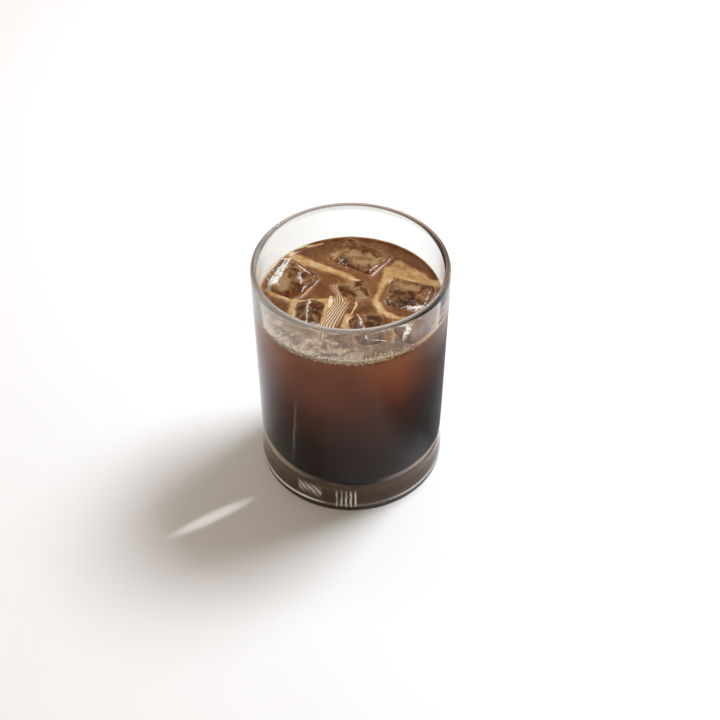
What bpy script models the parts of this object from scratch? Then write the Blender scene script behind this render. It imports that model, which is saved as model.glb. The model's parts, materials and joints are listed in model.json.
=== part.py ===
"""Iced americano in a clear straight-sided tumbler.

A heavy-footed drinking glass, filled with black coffee up to 18 mm under its
rim.  A thin layer of crema lies on the coffee, and seven ice cubes float in it
with their tops showing.  Metres, +Z up, origin under the middle of the foot.
"""

import math
import random

import bmesh
import bpy
from mathutils import Euler, Vector

MM = 0.001

# Glass
GLASS_HEIGHT = 107 * MM
RIM_RADIUS = 40 * MM
LOW_RADIUS = 38.8 * MM          # narrowest outside, just above the foot
LOW_HEIGHT = 14 * MM
FOOT_RADIUS = 39.3 * MM         # the heavy foot swells out a little
FOOT_HEIGHT = 6.5 * MM
HEEL_ROUNDING = 4 * MM
RIM_WALL = 2.6 * MM
LIP_HEIGHT = 3 * MM             # the fire-polished rim tapers over this height
LIP_STEPS = 8
LOW_WALL = 2.8 * MM
BASE_THICKNESS = 12.5 * MM
INNER_CORNER = 9 * MM
FLOOR_DISH = 0.6 * MM           # the inside floor dips towards the middle
REST_RING_INNER = 30.5 * MM     # inside it the underside is hollowed
PUNT_RISE = 1.2 * MM
TURN_STEPS = 72

# Drink
SURFACE_HEIGHT = 88.8 * MM      # top of the crema, away from the wall
CREMA_THICKNESS = 1.1 * MM
MENISCUS_RISE = 1.3 * MM
MENISCUS_WIDTH = 2.6 * MM
GAP = 0.3 * MM                  # clearance between solids that touch

# Ice
ICE_WALL_FILM = 1.2 * MM        # coffee between a cube and the glass
ICE_EDGE = 1.5 * MM             # melted rounding of the edges
ICE_EDGE_STEPS = 3
ICE_UNEVENNESS = 0.07           # how far a corner is melted in, as a share of the size

# Each cube: centre, size and turn, in millimetres and degrees.
ICE_CUBES = {
    "ice_left": ((-26.2, 10.6, 84.2), (19, 19, 19), (7, 18, -30)),
    "ice_back": ((2.8, 24.2, 81.4), (22, 17, 19), (-3, 3, -33)),
    "ice_right": ((22.8, 1.0, 81.3), (20.5, 18, 20), (5, -3, -19)),
    "ice_front_left": ((-17.0, -10.8, 85.1), (15.5, 16.5, 14), (2, 24, -5)),
    "ice_front_right": ((6.1, -19.8, 84.3), (17, 17, 14), (2, 17, 13)),
    "ice_middle": ((1.2, 3.0, 82.9), (13, 13, 15), (4, -4, 14)),
    "ice_small": ((25.4, -20.6, 83.9), (13.5, 13, 14), (6, -8, 40)),
}
# Cubes melted flat along their upper left edge, with the width of that cut.
WIDE_CHAMFERS = {
    "ice_left": 4.5 * MM,
    "ice_right": 3.5 * MM,
    "ice_front_left": 6.0 * MM,
    "ice_front_right": 4.5 * MM,
}


def clear_scene():
    for thing in list(bpy.data.objects):
        bpy.data.objects.remove(thing)


def new_collection(name):
    collection = bpy.data.collections.new(name)
    bpy.context.scene.collection.children.link(collection)
    return collection


def make_material(name, colour, roughness, transmission=0.0, ior=1.45, alpha=1.0):
    material = bpy.data.materials.new(name)
    material.use_nodes = True
    shader = material.node_tree.nodes["Principled BSDF"]
    shader.inputs["Base Color"].default_value = (*colour, 1)
    shader.inputs["Metallic"].default_value = 0
    shader.inputs["Roughness"].default_value = roughness
    shader.inputs["Transmission Weight"].default_value = transmission
    shader.inputs["IOR"].default_value = ior
    shader.inputs["Alpha"].default_value = alpha
    return material


def arc(centre, radius, start, end, steps):
    """Points of a circular arc in the (radius, height) plane, angles in degrees."""
    points = []
    for step in range(steps + 1):
        angle = math.radians(start + (end - start) * step / steps)
        points.append((centre[0] + radius * math.cos(angle), centre[1] + radius * math.sin(angle)))
    return points


def blend(low, high, share):
    return low + (high - low) * share


def outer_radius(height):
    share = (height - LOW_HEIGHT) / (GLASS_HEIGHT - LOW_HEIGHT)
    return blend(LOW_RADIUS, RIM_RADIUS, share)


def inner_radius(height):
    share = (height - LOW_HEIGHT) / (GLASS_HEIGHT - LOW_HEIGHT)
    return outer_radius(height) - blend(LOW_WALL, RIM_WALL, share)


def inside_profile(inset, top):
    """The hollow of the glass from the middle of its floor up to a height."""
    corner_height = BASE_THICKNESS + INNER_CORNER
    corner_centre = inner_radius(corner_height) - INNER_CORNER
    points = [(0, BASE_THICKNESS - FLOOR_DISH + inset)]
    points.append((corner_centre * 0.5, BASE_THICKNESS - FLOOR_DISH * 0.75 + inset))
    points += arc((corner_centre, corner_height), INNER_CORNER - inset, -90, 0, 6)
    points.append((inner_radius(top) - inset, top))
    return points


def turned(name, profile, collection, steps=TURN_STEPS):
    """A closed body of revolution from a profile whose outer side runs downwards."""
    mesh = bpy.data.meshes.new(name)
    edges = [(index, index + 1) for index in range(len(profile) - 1)]
    mesh.from_pydata([(radius, 0, height) for radius, height in profile], edges, [])
    body = bpy.data.objects.new(name, mesh)
    collection.objects.link(body)
    screw = body.modifiers.new("Turn", "SCREW")
    screw.steps = steps
    screw.render_steps = steps
    screw.use_smooth_shade = True
    screw.use_merge_vertices = True
    screw.merge_threshold = 0.00001
    return body


def lip_profile():
    """The rounded lip, from the inside of the wall over its top to the outside."""
    points = []
    for step in range(LIP_STEPS + 1):
        angle = math.pi * (1 - step / LIP_STEPS)
        height = GLASS_HEIGHT - LIP_HEIGHT * (1 - math.sin(angle))
        middle = (outer_radius(height) + inner_radius(height)) / 2
        half_wall = (outer_radius(height) - inner_radius(height)) / 2
        points.append((middle + half_wall * math.cos(angle), height))
    return points


def build_tumbler(collection):
    profile = inside_profile(0, GLASS_HEIGHT - LIP_HEIGHT)[:-1]
    profile += lip_profile()
    for share in (0, 0.25, 0.5, 0.75, 1):
        swell = (1 - math.cos(math.pi * share)) / 2
        profile.append((blend(LOW_RADIUS, FOOT_RADIUS, swell), blend(LOW_HEIGHT, FOOT_HEIGHT, share)))
    heel_centre = (FOOT_RADIUS - HEEL_ROUNDING, HEEL_ROUNDING)
    profile += arc(heel_centre, HEEL_ROUNDING, 0, -90, 5)
    for share in (0, 0.35, 0.7, 1):
        profile.append((REST_RING_INNER * (1 - share), PUNT_RISE * math.sin(share * math.pi / 2)))
    tumbler = turned("tumbler", profile, collection)
    tumbler.data.materials.append(
        make_material("clear soda glass", (0.96, 0.97, 0.96), 0.02, 1.0, 1.5, 0.35))
    return tumbler


def build_coffee(collection):
    top = SURFACE_HEIGHT - CREMA_THICKNESS - GAP
    profile = [(0, top)] + inside_profile(GAP, top)[::-1]
    coffee = turned("coffee", profile, collection)
    coffee.data.materials.append(make_material("black coffee", (0.09, 0.032, 0.016), 0.05))
    return coffee


def build_crema(collection):
    bottom = SURFACE_HEIGHT - CREMA_THICKNESS
    edge = inner_radius(SURFACE_HEIGHT) - GAP
    profile = [(0, SURFACE_HEIGHT)]
    for share in (0, 0.4, 0.7, 0.9, 1):
        height = SURFACE_HEIGHT + MENISCUS_RISE * share ** 2.4
        profile.append((edge - MENISCUS_WIDTH * (1 - share), height))
    profile += [(edge, bottom), (0, bottom)]
    crema = turned("crema", profile, collection)
    crema.data.materials.append(make_material("coffee crema", (0.46, 0.27, 0.13), 0.35))
    return crema


def wall_keeper(name, film, collection):
    """A turned plug that trims the ice so that it never meets the glass."""
    top = GLASS_HEIGHT
    bottom = BASE_THICKNESS + INNER_CORNER
    profile = [
        (0, top),
        (inner_radius(top) - film, top),
        (inner_radius(bottom) - film, bottom),
        (0, bottom),
    ]
    return turned(name, profile, collection)


def ice_cage(size, seed, chamfer, grow):
    """A cube whose corners are melted in unevenly, with one edge cut wide."""
    draw = random.Random(seed)
    cage = bmesh.new()
    bmesh.ops.create_cube(cage, size=1)
    full = Vector(size) * MM
    for corner in cage.verts:
        kept = [1 - 2 * ICE_UNEVENNESS * draw.random() for axis in range(3)]
        place = [corner.co[axis] * kept[axis] * full[axis] for axis in range(3)]
        away = [math.copysign(grow, corner.co[axis]) for axis in range(3)]
        corner.co = Vector(place) + Vector(away)
    if chamfer:
        upper_left = [edge for edge in cage.edges
                      if all(vert.co.x < 0 and vert.co.z > 0 for vert in edge.verts)]
        bmesh.ops.bevel(cage, geom=upper_left, offset=chamfer, segments=1, affect="EDGES")
    bmesh.ops.recalc_face_normals(cage, faces=cage.faces[:])
    return cage


def ice_body(name, cube, seed, grow, keeper, collection):
    centre, size, turn = cube
    cage = ice_cage(size, seed, WIDE_CHAMFERS.get(name, 0), grow)
    mesh = bpy.data.meshes.new(name)
    cage.to_mesh(mesh)
    cage.free()
    mesh.shade_smooth()
    mesh.set_sharp_from_angle(angle=math.radians(40))
    body = bpy.data.objects.new(name if not grow else name + "_pocket", mesh)
    body.location = Vector(centre) * MM
    body.rotation_euler = Euler([math.radians(angle) for angle in turn])
    collection.objects.link(body)
    melt = body.modifiers.new("Melted edges", "BEVEL")
    melt.width = ICE_EDGE
    melt.segments = ICE_EDGE_STEPS
    melt.limit_method = "NONE"
    trim = body.modifiers.new("Clear of the glass", "BOOLEAN")
    trim.operation = "INTERSECT"
    trim.solver = "EXACT"
    trim.object = keeper
    return body


def cut_pockets(body, pockets):
    cut = body.modifiers.new("Ice pockets", "BOOLEAN")
    cut.operation = "DIFFERENCE"
    cut.operand_type = "COLLECTION"
    cut.solver = "EXACT"
    cut.collection = pockets


def main():
    clear_scene()
    parts = new_collection("iced americano")
    keepers = new_collection("ice trimmers")
    pockets = new_collection("ice pockets")
    build_tumbler(parts)
    coffee = build_coffee(parts)
    crema = build_crema(parts)
    ice_keeper = wall_keeper("ice_limit", ICE_WALL_FILM, keepers)
    pocket_keeper = wall_keeper("pocket_limit", ICE_WALL_FILM - GAP, keepers)
    clear_ice = make_material("clear ice", (0.92, 0.94, 0.95), 0.04, 1.0, 1.31, 0.6)
    for seed, (name, cube) in enumerate(ICE_CUBES.items(), start=1):
        body = ice_body(name, cube, seed, 0, ice_keeper, parts)
        body.data.materials.append(clear_ice)
        ice_body(name, cube, seed, GAP, pocket_keeper, pockets)
    cut_pockets(coffee, pockets)
    cut_pockets(crema, pockets)
    for cutter in list(keepers.objects) + list(pockets.objects):
        cutter.hide_render = True
        cutter.display_type = "WIRE"


main()
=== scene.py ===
# %% [markdown]
# # An iced americano in a clear tumbler
#
# This lesson dresses a plain model of a drink so that it looks like the real one.
# The plain model, called the frame, already has every piece at its true size and
# place: the glass, the coffee, the crema that floats on it and seven ice cubes.
# Here each of them gets a finer surface and a finish.  Sizes are in metres.

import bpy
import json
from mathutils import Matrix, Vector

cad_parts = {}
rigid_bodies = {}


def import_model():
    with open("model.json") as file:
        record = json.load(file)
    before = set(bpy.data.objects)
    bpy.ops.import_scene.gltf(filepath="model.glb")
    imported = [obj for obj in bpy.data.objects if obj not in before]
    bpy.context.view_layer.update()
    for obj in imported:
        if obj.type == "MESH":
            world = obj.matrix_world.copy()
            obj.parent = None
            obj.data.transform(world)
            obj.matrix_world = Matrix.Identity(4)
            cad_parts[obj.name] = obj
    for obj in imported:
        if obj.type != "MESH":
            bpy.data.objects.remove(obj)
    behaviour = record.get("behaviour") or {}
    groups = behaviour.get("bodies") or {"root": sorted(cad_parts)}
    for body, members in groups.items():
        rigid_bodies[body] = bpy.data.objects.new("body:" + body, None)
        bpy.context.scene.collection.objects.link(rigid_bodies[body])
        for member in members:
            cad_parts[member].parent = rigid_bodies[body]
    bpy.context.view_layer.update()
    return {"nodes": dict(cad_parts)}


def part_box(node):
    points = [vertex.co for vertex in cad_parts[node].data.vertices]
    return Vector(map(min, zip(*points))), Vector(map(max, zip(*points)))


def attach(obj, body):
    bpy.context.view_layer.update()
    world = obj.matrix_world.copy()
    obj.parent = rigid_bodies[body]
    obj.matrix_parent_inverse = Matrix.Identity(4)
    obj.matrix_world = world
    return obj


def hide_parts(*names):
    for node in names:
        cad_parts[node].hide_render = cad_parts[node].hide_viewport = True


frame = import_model()

import json
import math

import bmesh
import bpy
import numpy as np
from mathutils import Matrix, Vector, noise
from mathutils.bvhtree import BVHTree

MM = 0.001
print("the frame holds", sorted(frame["nodes"]))

# %% [markdown]
# ## Small helpers
#
# A colour that is picked on a screen is an sRGB value, but a renderer adds up light
# in linear values, so one function turns the first into the second.  Node trees, for
# materials and for geometry alike, are built by one function that adds a node, sets
# it up and links it.  The helpers for patterns are built on it.  Most patterns here are
# masks: a mask is a value from 0 to 1 that says where something lies.

# %% Colours and nodes
def linear(hex_code):
    """The linear colour of an sRGB code such as "#c08040"."""
    channels = [int(hex_code[place:place + 2], 16) / 255 for place in (1, 3, 5)]
    return tuple(((c + 0.055) / 1.055) ** 2.4 if c > 0.04045 else c / 12.92 for c in channels) + (1.0,)


def add_node(tree, kind, inputs=None, **settings):
    """Adds a node.  An input is a value, a node (its first output) or an output socket."""
    node = tree.nodes.new(kind)
    for name, value in settings.items():
        setattr(node, name, value)
    for key, value in (inputs or {}).items():
        if isinstance(value, bpy.types.Node):
            value = value.outputs[0]
        if isinstance(value, bpy.types.NodeSocket):
            tree.links.new(value, node.inputs[key])
        else:
            node.inputs[key].default_value = value
    return node


def add_object(name, data):
    """A new object in the scene."""
    thing = bpy.data.objects.new(name, data)
    bpy.context.collection.objects.link(thing)
    return thing


def new_material(name, **values):
    """A Principled material, with its shader, and with plain values on its sockets."""
    material = bpy.data.materials.new(name)
    material.use_nodes = True
    shader = material.node_tree.nodes["Principled BSDF"]
    for socket, value in values.items():
        shader.inputs[socket.replace("_", " ")].default_value = value
    return material, material.node_tree, shader


def let_lamps_in(tree, shader, tint):
    """Lets lamplight straight through a clear material, which keeps the picture clean."""
    path = add_node(tree, "ShaderNodeLightPath").outputs
    light = combine(tree, "MAXIMUM", path["Is Shadow Ray"], path["Is Diffuse Ray"])
    through = add_node(tree, "ShaderNodeBsdfTransparent", {"Color": tint})
    both = add_node(tree, "ShaderNodeMixShader", {0: light, 1: shader, 2: through})
    tree.links.new(both.outputs[0], tree.nodes["Material Output"].inputs["Surface"])


def ramp(tree, factor, stops):
    """A colour ramp from stops, each a position with a screen colour's code."""
    node = add_node(tree, "ShaderNodeValToRGB", {"Fac": factor})
    while len(node.color_ramp.elements) < len(stops):
        node.color_ramp.elements.new(0.5)
    for element, (position, colour) in zip(node.color_ramp.elements, stops):
        element.position = position
        element.color = linear(colour)
    return node.outputs["Color"]


def combine(tree, operation, *masks):
    """One value from several: their sum with ADD, for masks MULTIPLY (all) or MAXIMUM (any)."""
    result = masks[0]
    for mask in masks[1:]:
        result = add_node(tree, "ShaderNodeMath", {0: result, 1: mask}, operation=operation)
    return result


def band(tree, value, low, high, soft):
    """A mask that is 1 where a value lies between two limits, with soft ends."""
    enters = add_node(tree, "ShaderNodeMapRange", {"Value": value, "From Min": low - soft, "From Max": low})
    leaves = add_node(tree, "ShaderNodeMapRange", {"Value": value, "From Min": high + soft, "From Max": high})
    return combine(tree, "MULTIPLY", enters, leaves)


def stripes(tree, across, sway, spacing, sway_size, fullness):
    """Swaying stripes from 0 to 1.  The fuller they are, the narrower the gaps between."""
    swayed = add_node(tree, "ShaderNodeMath", {0: sway, 1: sway_size, 2: across}, operation="MULTIPLY_ADD")
    phase = combine(tree, "MULTIPLY", swayed, 2 * math.pi / spacing)
    wave = add_node(tree, "ShaderNodeMath", {0: phase}, operation="SINE")
    return add_node(tree, "ShaderNodeMapRange", {"Value": wave, "From Min": -fullness, "From Max": 1.0})


def from_axis(tree, position):
    """How far a place is from the upright axis through the middle of the glass."""
    flat = add_node(tree, "ShaderNodeVectorMath", {0: position, 1: (1, 1, 0)}, operation="MULTIPLY")
    return add_node(tree, "ShaderNodeVectorMath", {0: flat}, operation="LENGTH").outputs["Value"]


print("a mid grey is", round(linear("#808080")[0], 3), "in linear light")

# %% [markdown]
# ## Camera
#
# The camera stands in front and looks down at 44 degrees.  It uses a lens long enough
# to see the glass under 28 degrees of view, which keeps its sides nearly parallel.

# %% Camera
CAMERA_PLACE = Vector((3.71, -437.54, 475.39)) * MM
CAMERA_PITCH = math.radians(43.94)
FIELD_OF_VIEW = math.radians(28)

camera = add_object("camera", bpy.data.cameras.new("camera"))
camera.data.sensor_width = 36
camera.data.lens = camera.data.sensor_width / 2 / math.tan(FIELD_OF_VIEW / 2)
camera.location = CAMERA_PLACE
camera.rotation_euler = (math.pi / 2 - CAMERA_PITCH, 0, 0)
bpy.context.scene.camera = camera
print("lens", round(camera.data.lens, 1), "mm")

# %% [markdown]
# ## Floor, sky and lights
#
# Glass has hardly any colour of its own: it shows what surrounds it.  On a white table
# under an even white sky it would almost vanish, so the sky here is bright at the
# horizon and dim overhead, which draws the dark lines along the rim.  One soft lamp
# stands high at the back right and throws the shadow to the front left.  A full glass
# also works as a lens and draws a bright streak into its shadow.  Tracing that takes
# very long, so a narrow lamp draws it here.  At the right a dark board, as photographers
# use for glass, keeps the bright table out of the reflections.

# %% Floor, sky and lights
FLOOR_SIZE = 6.0
FLOOR_GAP = 0.05 * MM  # air left under the foot, so that its underside mirrors
LAMP_TURN = math.radians(35)
LAMP_HEIGHT = math.radians(54)
LAMP_DISTANCE = 1.0
LAMP_SIZE = 0.38
LAMP_POWER = 9.8
STRIP_HEIGHT = math.radians(64)
STRIP_SIZE = (1.5, 0.12)
STRIP_POWER = 1.6
SKY_HORIZON = (0.82, 0.72, 0.61, 1)
SKY_TOP = (0.22, 0.175, 0.13, 1)
SKY_FADE = (0.25, 0.8)  # sine of the heights between which the sky grows dim
LAMP_COLOUR = (0.95, 1.0, 1.08)
STREAK_FROM = Vector((-80, -54)) * MM
STREAK_TO = Vector((-39, -28)) * MM
STREAK_WIDTH = 7 * MM
STREAK_LAMP_HEIGHT = 0.6
STREAK_LAMP_RADIUS = 1 * MM
STREAK_POWER = 5.0
FLAG_PLACE = Vector((46, 0, 0)) * MM
FLAG_WIDTH = 0.5
FLAG_HEIGHT = 84 * MM
FLAG_FADE = 25 * MM  # its lower front edge and its top thin out over this length
FLAG_COVER = 0.77

bpy.context.scene.view_settings.view_transform = "Standard"

floor_mesh = bpy.data.meshes.new("floor")
sketch = bmesh.new()
bmesh.ops.create_grid(sketch, x_segments=1, y_segments=1, size=FLOOR_SIZE / 2)
sketch.to_mesh(floor_mesh)
sketch.free()
floor = add_object("floor", floor_mesh)
floor.location.z = -FLOOR_GAP
paper, _, _ = new_material("matt white card", Base_Color=linear("#f4f4f3"), Roughness=0.9)
floor_mesh.materials.append(paper)

world = bpy.data.worlds.new("sky")
world.use_nodes = True
bpy.context.scene.world = world
sky = world.node_tree
direction = add_node(sky, "ShaderNodeTexCoord").outputs["Generated"]
height = add_node(sky, "ShaderNodeSeparateXYZ", {"Vector": direction}).outputs["Z"]
overhead = add_node(sky, "ShaderNodeMapRange", {
    "Value": height, "From Min": SKY_FADE[0], "From Max": SKY_FADE[1]})
sky_colour = add_node(sky, "ShaderNodeMix", {0: overhead, 6: SKY_HORIZON, 7: SKY_TOP}, data_type="RGBA")
sky.links.new(sky_colour.outputs[2], sky.nodes["Background"].inputs["Color"])


def add_lamp(name, turn, rise, size, power):
    """A soft lamp that faces the drink, of a width and a height."""
    lamp_data = bpy.data.lights.new(name, "AREA")
    lamp_data.shape = "RECTANGLE"
    lamp_data.size, lamp_data.size_y = size
    lamp_data.energy = power
    lamp_data.color = LAMP_COLOUR
    lamp = add_object(name, lamp_data)
    flat = math.cos(rise)
    lamp.location = Vector((flat * math.cos(turn), flat * math.sin(turn), math.sin(rise))) * LAMP_DISTANCE
    lamp.rotation_euler = lamp.location.to_track_quat("Z", "Y").to_euler()


def add_streak(name, start, end, width, height, power):
    """A narrow lamp from above, for the bright streak that a full glass throws on a table."""
    lamp_data = bpy.data.lights.new(name, "SPOT")
    lamp_data.shadow_soft_size = STREAK_LAMP_RADIUS
    lamp_data.spot_blend = 1.0
    lamp_data.energy = power
    lamp_data.spot_size = 2 * math.atan((end - start).length / 2 / height)
    lamp = add_object(name, lamp_data)
    middle = (start + end) / 2
    lamp.location = (middle.x, middle.y, height)
    lamp.rotation_euler = (0, 0, math.atan2(end.y - start.y, end.x - start.x))
    lamp.scale = (1, width / (end - start).length, 1)


def add_flag(name, stand, width, height, turn):
    """A dark board that only reflections show, so that no bright floor washes out one side."""
    board = bpy.data.meshes.new(name)
    corners = [(-width / 2, 0, 0), (width / 2, 0, 0), (width / 2, 0, height), (-width / 2, 0, height)]
    board.from_pydata(corners, [], [(0, 1, 2, 3)])
    flag = add_object(name, board)
    flag.location = stand
    flag.rotation_euler = (0, 0, turn)
    flag.visible_camera = False
    flag.visible_diffuse = False
    flag.visible_shadow = False
    flag.visible_transmission = False
    felt, tree, shader = new_material(
        "brown felt", Base_Color=linear("#4c3a30"), Roughness=1.0, Specular_IOR_Level=0.0)
    on_board = add_node(tree, "ShaderNodeTexCoord").outputs["Object"]
    place = add_node(tree, "ShaderNodeSeparateXYZ", {"Vector": on_board}).outputs
    behind = add_node(tree, "ShaderNodeMapRange", {
        "Value": place["X"], "From Min": -FLAG_FADE, "From Max": 0.0, "To Max": FLAG_FADE})
    bottom = add_node(tree, "ShaderNodeMapRange", {
        "Value": combine(tree, "ADD", place["Z"], behind), "From Max": FLAG_FADE, "To Max": FLAG_COVER})
    top = add_node(tree, "ShaderNodeMapRange", {
        "Value": place["Z"], "From Min": height, "From Max": height - FLAG_FADE})
    cover = combine(tree, "MULTIPLY", bottom, top)
    tree.links.new(cover.outputs[0], shader.inputs["Alpha"])
    board.materials.append(felt)


add_lamp("back_lamp", LAMP_TURN, LAMP_HEIGHT, (LAMP_SIZE, LAMP_SIZE), LAMP_POWER)
add_lamp("strip_lamp", math.pi / 2, STRIP_HEIGHT, STRIP_SIZE, STRIP_POWER)
add_streak("table_streak", STREAK_FROM, STREAK_TO, STREAK_WIDTH, STREAK_LAMP_HEIGHT, STREAK_POWER)
add_flag("side_flag", FLAG_PLACE, FLAG_WIDTH, FLAG_HEIGHT, math.pi / 2)
print("lamp at", round(math.degrees(LAMP_HEIGHT)), "degrees above the table")

# %% [markdown]
# ## The tumbler
#
# A pressed glass is the same all round, so its shape is one outline, turned about the
# middle.  A Screw modifier would do it.  Here Geometry Nodes wrap a flat grid round the
# axis instead: each row of the grid takes its radius and height from one point of the
# outline, and each column takes its angle.  Merging the seam and the two ends on the
# axis closes it.  The same tree turns the coffee and the crema later.

# %% Sizes of the glass
low_corner, high_corner = (Vector(corner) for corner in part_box("tumbler"))
RIM_RADIUS = (high_corner.x - low_corner.x) / 2
GLASS_HEIGHT = high_corner.z
LOW_RADIUS = 38.8 * MM
LOW_HEIGHT = 14 * MM
FOOT_RADIUS = 39.3 * MM
FOOT_HEIGHT = 6.5 * MM
HEEL_ROUNDING = 4 * MM
RIM_WALL = 2.6 * MM
LOW_WALL = 2.8 * MM
BASE_THICKNESS = 12.5 * MM
INNER_CORNER = 9 * MM
FLOOR_DISH = 0.6 * MM
REST_RING_INNER = 30.5 * MM
PUNT_RISE = 1.2 * MM
LIP_HEIGHT = 3.0 * MM  # the fire-polished rim tapers over this height
DISH_STEPS = 8  # points along each part of the outline
CORNER_STEPS = 20
LIP_STEPS = 24
FOOT_STEPS = 12
HEEL_STEPS = 14
SURFACE_HEIGHT = 88.8 * MM
CREMA_THICKNESS = 1.1 * MM


def blend(low, high, share):
    return low + (high - low) * share


def arc(centre, radius, start, end, steps):
    """Points of an arc in the (radius, height) plane, angles in degrees."""
    angles = [math.radians(blend(start, end, step / steps)) for step in range(steps + 1)]
    return [(centre[0] + radius * math.cos(a), centre[1] + radius * math.sin(a)) for a in angles]


def outer_radius(height):
    return blend(LOW_RADIUS, RIM_RADIUS, (height - LOW_HEIGHT) / (GLASS_HEIGHT - LOW_HEIGHT))


def inner_radius(height):
    share = (height - LOW_HEIGHT) / (GLASS_HEIGHT - LOW_HEIGHT)
    return outer_radius(height) - blend(LOW_WALL, RIM_WALL, share)


def inside_outline(inset, top):
    """The hollow of the glass, from the middle of its floor up to a height."""
    corner_height = BASE_THICKNESS + INNER_CORNER
    corner_centre = inner_radius(corner_height) - INNER_CORNER
    points = []
    for step in range(DISH_STEPS):
        share = step / DISH_STEPS
        dish = BASE_THICKNESS - FLOOR_DISH * (1 - share ** 2)
        points.append((corner_centre * share, dish + inset))
    points += arc((corner_centre, corner_height), INNER_CORNER - inset, -90, 0, CORNER_STEPS)
    points.append((inner_radius(top) - inset, top))
    return points


def tumbler_outline():
    points = inside_outline(0, GLASS_HEIGHT - LIP_HEIGHT)[:-1]
    for step in range(LIP_STEPS + 1):
        angle = math.pi * (1 - step / LIP_STEPS)
        height = GLASS_HEIGHT - LIP_HEIGHT * (1 - math.sin(angle))
        middle = (outer_radius(height) + inner_radius(height)) / 2
        half_wall = (outer_radius(height) - inner_radius(height)) / 2
        points.append((middle + half_wall * math.cos(angle), height))
    shares = [step / FOOT_STEPS for step in range(FOOT_STEPS + 1)]
    for share in shares:
        swell = (1 - math.cos(math.pi * share)) / 2
        points.append((blend(LOW_RADIUS, FOOT_RADIUS, swell), blend(LOW_HEIGHT, FOOT_HEIGHT, share)))
    points += arc((FOOT_RADIUS - HEEL_ROUNDING, HEEL_ROUNDING), HEEL_ROUNDING, 0, -90, HEEL_STEPS)
    for share in shares:
        points.append((REST_RING_INNER * (1 - share), PUNT_RISE * math.sin(share * math.pi / 2)))
    return points


print("glass", round(2 * RIM_RADIUS / MM, 1), "mm wide and", round(GLASS_HEIGHT / MM, 1), "mm high")

# %% Geometry Nodes that turn an outline
def new_tree(name, inputs):
    """An empty geometry tree with named inputs, given as name: (socket type, default)."""
    tree = bpy.data.node_groups.new(name, "GeometryNodeTree")
    tree.interface.new_socket("Geometry", in_out="OUTPUT", socket_type="NodeSocketGeometry")
    for label, (kind, default) in inputs.items():
        socket = tree.interface.new_socket(label, in_out="INPUT", socket_type=kind)
        if default is not None:
            socket.default_value = default
    return tree, tree.nodes.new("NodeGroupInput").outputs


def close_tree(tree, geometry, material):
    """Ends a tree: real meshes instead of instances, and a material on them."""
    real = add_node(tree, "GeometryNodeRealizeInstances", {"Geometry": geometry})
    coated = add_node(tree, "GeometryNodeSetMaterial", {"Geometry": real, "Material": material})
    add_node(tree, "NodeGroupOutput", {"Geometry": coated})


def run_tree(name, tree, values):
    """Runs a tree in a modifier and keeps the result as a plain mesh object."""
    holder = add_object(name + "_holder", bpy.data.meshes.new(name + "_holder"))
    modifier = holder.modifiers.new("Nodes", "NODES")
    modifier.node_group = tree
    for item in tree.interface.items_tree:
        if item.in_out == "INPUT" and item.name in values:
            modifier[item.identifier] = values[item.name]
    holder.update_tag()
    graph = bpy.context.evaluated_depsgraph_get()
    mesh = bpy.data.meshes.new_from_object(holder.evaluated_get(graph))
    mesh.name = name
    bpy.data.objects.remove(holder)
    return add_object(name, mesh)


def turning_tree(material):
    tree, given = new_tree("turn an outline", {
        "Outline": ("NodeSocketObject", None),
        "Points": ("NodeSocketInt", 2),
        "Steps": ("NodeSocketInt", 96),
        "Weld": ("NodeSocketFloat", 0.000001),
    })
    columns = add_node(tree, "ShaderNodeMath", {0: given["Steps"], 1: 1}, operation="ADD")
    grid = add_node(tree, "GeometryNodeMeshGrid", {
        "Vertices X": columns, "Vertices Y": given["Points"]})
    index = add_node(tree, "GeometryNodeInputIndex").outputs[0]
    row = add_node(tree, "ShaderNodeMath", {0: index, 1: given["Points"]}, operation="MODULO")
    part = add_node(tree, "ShaderNodeMath", {0: index, 1: given["Points"]}, operation="DIVIDE")
    column = add_node(tree, "ShaderNodeMath", {0: part}, operation="FLOOR")
    share = add_node(tree, "ShaderNodeMath", {0: column, 1: given["Steps"]}, operation="DIVIDE")
    angle = add_node(tree, "ShaderNodeMath", {0: share, 1: 2 * math.pi}, operation="MULTIPLY")
    outline = add_node(tree, "GeometryNodeObjectInfo", {"Object": given["Outline"]})
    place = add_node(tree, "GeometryNodeInputPosition").outputs[0]
    point = add_node(tree, "GeometryNodeSampleIndex", {
        "Geometry": outline.outputs["Geometry"], "Value": place, "Index": row,
    }, data_type="FLOAT_VECTOR")
    turned = add_node(tree, "ShaderNodeVectorRotate", {
        "Vector": point, "Angle": angle}, rotation_type="Z_AXIS")
    wrapped = add_node(tree, "GeometryNodeSetPosition", {
        "Geometry": grid.outputs["Mesh"], "Position": turned})
    welded = add_node(tree, "GeometryNodeMergeByDistance", {
        "Geometry": wrapped, "Distance": given["Weld"]})
    smooth = add_node(tree, "GeometryNodeSetShadeSmooth", {"Geometry": welded})
    close_tree(tree, smooth, material)
    return tree


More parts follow.
